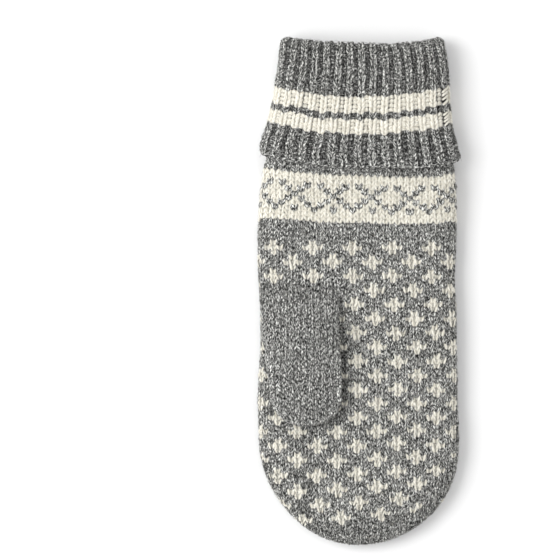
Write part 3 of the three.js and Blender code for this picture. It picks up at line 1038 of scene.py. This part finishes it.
# the purl bumps' heads behind them; the grey ones in painted shade
purlHeads = someStrands(
    turn,
    t,
    t0=t + purl["headHalf"],
    t1=t - purl["headHalf"],
    wide=purl["headWide"],
    thick=purl["headThick"],
    top=purl["headTop"],
    shade=np.where(isWhite, 1, gauge["headShade"] * purlPaintedShade),
    sMm=rib["round"],
    flip=True,
)
for shape, strands in ((legShape, purls), (headShape, purlHeads)):
    whites.append((shape, cuffCloth, only(strands, isWhite)))
    greys.append((shape, cuffCloth, only(strands, ~isWhite)))

# the seam: slanted strands that draw the cuff's sides together
row = np.arange(rib["rows"])
t = ribRow(seam["turn"], row)
isWhite = np.isin(row, rib["whiteRows"])
shake = dice.normal(0, gauge["jitter"], (5, len(row)))
across, along = seam["half"]
seamStrands = someStrands(
    np.full(len(row), seam["turn"]),
    t,
    s0=seam["turn"] + (across + shake[0]) / rib["round"],
    s1=seam["turn"] - (across + shake[1]) / rib["round"],
    t0=t + along + shake[2],
    t1=t - along + shake[3],
    wide=seam["wide"] * (1 + shake[4]),
    thick=seam["thick"],
    top=seam["top"],
    dip0=0.7,
    dip1=0.7,
    soft=isWhite * seam["soft"],
    sMm=rib["round"],
    flip=True,
)
whites.append((legShape, cuffCloth, only(seamStrands, isWhite)))
greys.append((legShape, cuffCloth, only(seamStrands, ~isWhite)))

# the cast-off edge: a chain of two rows of slanted strands that lies along it
castOff = {
    "rows": ((1, -0.5), (-1, -1.7)),  # the way each slants, and its height
    "half": 2.3,  # mm from a strand's middle to its ends
    "slant": 0.5,
    "past": 0.2,  # mm past the cloth's edge
    "wide": 0.95,
    "thick": 0.85,
    "dip": 0.3,
}
chain = np.arange(2 * cuff["ribs"]) / (2 * cuff["ribs"])
along = cuff["depth"] + castOff["past"]
for side, depth in castOff["rows"]:
    shake = dice.normal(0, gauge["jitter"], (4, len(chain)))
    edge = someStrands(
        chain,
        np.full(len(chain), cuff["depth"]),
        s0=chain - (castOff["half"] + shake[0]) / rib["round"],
        s1=chain + (castOff["half"] + shake[1]) / rib["round"],
        t0=along - side * castOff["slant"] + shake[2],
        t1=along + side * castOff["slant"] + shake[3],
        wide=castOff["wide"],
        thick=castOff["thick"],
        top=depth,
        dip0=castOff["dip"],
        dip1=castOff["dip"],
        sMm=rib["round"],
        flip=True,
    )
    greys.append((legShape, cuffCloth, edge))
addStrands("cuff_grey", greys, greyWool)
addStrands("cuff_white", whites, whiteWool)
print("cuff knitted")


# Fuzz: single fibres that stand off the yarn, drawn coarser than real ones so that they show

fuzz = {
    "palm": 5200,
    "band": 1500,
    "back": 3000,
    "thumb": 1300,
    "cuff": 3600,
    "handHalf": 58,  # mm across and along within which it is strewn
    "backStart": 4,
    "handEnd": 214,
    "thumbHalf": 25,
    "thumbStart": 12,
    "cuffStart": -20,
    "long": (1.2, 4),
    "thick": 0.06,
    "rise": 0.8,  # how far a fibre's free end stands off, at most
    "whites": 0.18,  # share of white fibres among the dots
    "whiteSoft": 0.7,
}


def fibres(s, t, sMm=1.0, flip=False, soft=0):
    n = len(s)
    way = dice.uniform(0, 2 * np.pi, n)
    long = dice.uniform(*fuzz["long"], n)
    return someStrands(
        s,
        t,
        s1=s + long * np.cos(way) / sMm,
        t1=t + long * np.sin(way),
        bow=dice.normal(0, 0.3, n) / sMm,
        wide=fuzz["thick"],
        thick=fuzz["thick"],
        top=0.1,
        dip0=0.5,
        dip1=-dice.uniform(0, fuzz["rise"], n),
        soft=soft,
        sMm=sMm,
        flip=flip,
    )


def onHand(face, count, low, high):
    side = fuzz["handHalf"]
    s, t = dice.uniform(-side, side, count * 2), dice.uniform(low, high, count * 2)
    shown = (handPlan(face, s, t)[4] < 1.01) & ~((face > 0) & underThumb(s, t, 8, 4))
    return s[shown][:count], t[shown][:count]


bandLow, bandHigh = (gauge["firstRow"] + gauge["row"] * band[key] for key in ("first", "last"))
s, t = onHand(1, fuzz["palm"], bandHigh, fuzz["handEnd"])
pale = dice.uniform(0, 1, len(s)) < fuzz["whites"]
bandS, bandT = onHand(1, fuzz["band"], bandLow, bandHigh)
backS, backT = onHand(-1, fuzz["back"], fuzz["backStart"], fuzz["handEnd"])
addStrands(
    "hand_fuzz_grey",
    [
        (hairShape, palmCloth, fibres(s[~pale], t[~pale])),
        (hairShape, backCloth, fibres(backS, backT, flip=True)),
    ],
    greyWool,
)
addStrands(
    "hand_fuzz_white",
    [
        (hairShape, palmCloth, fibres(s[pale], t[pale], soft=fuzz["whiteSoft"])),
        (hairShape, palmCloth, fibres(bandS, bandT, soft=fuzz["whiteSoft"])),
    ],
    whiteWool,
)
side, start, end = fuzz["thumbHalf"], fuzz["thumbStart"], thumb["length"] + 4
s, t = dice.uniform(-side, side, fuzz["thumb"]), dice.uniform(start, end, fuzz["thumb"])
shown = thumbPlan(1, s, t)[4] < thumbGrid["rim"]
onThumb = fibres(s[shown], t[shown])
addStrands("thumb_fuzz", [(hairShape, thumbTopCloth, onThumb)], greyWool)
start, end = fuzz["cuffStart"], cuff["depth"] + 1
turn, t = dice.uniform(0, 1, fuzz["cuff"]), dice.uniform(start, end, fuzz["cuff"])
pale = np.isin(np.floor(t / rib["row"]), rib["whiteRows"])
onCuff = fibres(turn, t, rib["round"], True, pale * fuzz["whiteSoft"])
addStrands("cuff_fuzz_grey", [(hairShape, cuffCloth, only(onCuff, ~pale))], greyWool)
addStrands("cuff_fuzz_white", [(hairShape, cuffCloth, only(onCuff, pale))], whiteWool)
print("fuzz raised")


# Grounds: the cloth behind the stitches, in painted shade

groundDepth = 1.25


def groundFrom(nodeName, name, shape, material):
    # the solid's own shape, drawn in so that the stitches stand on it; shape takes its
    # points and normals, both in mm from the join, and gives the points moved
    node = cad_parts[nodeName]
    mesh = node.data.copy()
    mesh.name = name
    piece = bpy.data.objects.new(name, mesh)
    bpy.context.scene.collection.objects.link(piece)
    where, normal = np.empty(len(mesh.vertices) * 3), np.empty(len(mesh.vertices) * 3)
    mesh.vertices.foreach_get("co", where)
    mesh.vertices.foreach_get("normal", normal)
    join = np.array([joinX, joinY, 0])
    moved = shape(where.reshape(-1, 3) * 1000 - join, normal.reshape(-1, 3))
    mesh.vertices.foreach_set("co", ((moved + join) * 0.001).ravel())
    mesh.materials.clear()
    mesh.materials.append(material)
    mesh.polygons.foreach_set("use_smooth", np.ones(len(mesh.polygons), bool))
    mesh.update()
    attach(piece, "root")
    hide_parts(nodeName)


def handDrawnIn(where, normal):
    axis = where.copy()
    axis[:, 0] = np.clip(axis[:, 0], -46, 46)
    axis[:, 1] = np.maximum(axis[:, 1], 10 - hand["length"])
    axis[:, 2] = hand["thickness"] * 0.45
    outward = ((where - axis) * normal).sum(1) > 0
    return where - normal * (outward * groundDepth)[:, None]


def thumbDrawnIn(where, normal):
    # where the thumb is thin, all of it goes down into the palm
    x, y = where[:, 0], where[:, 1]
    run = -y - thumb["fromJoin"]
    seat = palmTop(x * thumb["drape"], y) + pieceGap
    axis = where.copy()
    axis[:, 0] = np.clip(x, thumb["fromCentre"] - 14, thumb["fromCentre"] + 14)
    axis[:, 1] = np.maximum(y, 7 - thumb["fromJoin"] - thumb["length"])
    axis[:, 2] = seat + thumbFull(run) * midShare
    outward = ((where - axis) * normal).sum(1) > 0
    under = outward & (normal[:, 2] < -0.3)
    moved = where - normal * ((outward & ~(under & (run < 30))) * groundDepth)[:, None]
    palm = palmTop(x, y)
    mostUnder = palm - 2.4 + 9 * smooth((run - 24) / 20)
    mostOver = palm - 1.8 + 9 * smooth((run - 3) / 12)
    moved[:, 2] = np.minimum(moved[:, 2], np.where(under, mostUnder, mostOver))
    return moved


groundFrom("hand", "hand_ground", handDrawnIn, paintedShadeGround)
groundFrom("thumb", "thumb_ground", thumbDrawnIn, paintedShadeGround)


def ringRun(rings):
    # quads between closed rings of points, the last joined to the first
    count, sides = rings.shape[:2]
    i, j = np.meshgrid(np.arange(count), np.arange(sides), indexing="ij")
    up, on = (i + 1) % count, (j + 1) % sides
    quads = np.stack([i * sides + j, up * sides + j, up * sides + on, i * sides + on], -1)
    return quads.reshape(-1, 4)


def cuffGround():
    # rings down the outside over the fold to the inner end, and back behind the wall
    turn = np.linspace(0, 1, 193)[:-1]
    edge = cuff["depth"] - 0.4
    inner = cuff["depth"] - cuff["overlap"] - 0.3
    fold = through / 2 * np.pi / 2
    paths = (
        (edge, -inner, 70, groundDepth),
        (-inner, -fold - 1, 16, cuff["wall"]),
        (fold + 1, edge, 16, cuff["wall"]),
    )
    rings = [
        cuffCloth(turn, np.full(len(turn), t), np.full(len(turn), -depth))
        for start, end, count, depth in paths
        for t in np.linspace(start, end, count)
    ]
    return np.stack(rings)


rings = cuffGround()
ground = addPiece("cuff_ground", rings.reshape(-1, 3), [ringRun(rings)], paintedShadeGround)
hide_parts("cuff")
print("grounds made")

# Studio

photo = {"width": 533, "height": 557, "pixel": 0.525, "joinX": 358.5, "joinY": 144}


def addStudio():
    lens, sensor = 200, 36
    away = lens / sensor * photo["height"] * photo["pixel"]
    x = joinX + (photo["width"] / 2 - photo["joinX"]) * photo["pixel"]
    y = joinY - (photo["height"] / 2 - photo["joinY"]) * photo["pixel"]
    camera = bpy.data.cameras.new("camera")
    camera.lens, camera.sensor_width = lens, sensor
    camera.clip_end = 10
    stand = bpy.data.objects.new("camera", camera)
    stand.location = (x * 0.001, y * 0.001, (away + 9) * 0.001)
    bpy.context.scene.collection.objects.link(stand)
    bpy.context.scene.camera = stand

    bpy.ops.mesh.primitive_plane_add(size=6, location=(0, 0, -0.0009))
    floor = bpy.context.object
    floor.name = "floor"
    paper, _, shader = newMaterial("matt white paper", 0.9, 0)
    shader.inputs["Base Color"].default_value = linear("#f7f7f7")
    floor.data.materials.append(paper)

    world = bpy.data.worlds.new("studio")
    bpy.context.scene.world = world
    world.use_nodes = True
    world.node_tree.nodes["Background"].inputs["Color"].default_value = linear("#ffffff")
    world.node_tree.nodes["Background"].inputs["Strength"].default_value = 0.8

    lamp = bpy.data.lights.new("softbox", "AREA")
    lamp.shape = "RECTANGLE"
    lamp.size, lamp.size_y = 0.9, 0.9
    lamp.energy = 13
    box = bpy.data.objects.new("softbox", lamp)
    box.location = (-0.9, 0.15, 1.05)
    box.rotation_mode = "QUATERNION"
    box.rotation_quaternion = (Vector((0, 0, 0)) - box.location).to_track_quat("-Z", "Y")
    bpy.context.scene.collection.objects.link(box)
    bpy.context.scene.view_settings.view_transform = "Standard"


addStudio()
print("studio set")
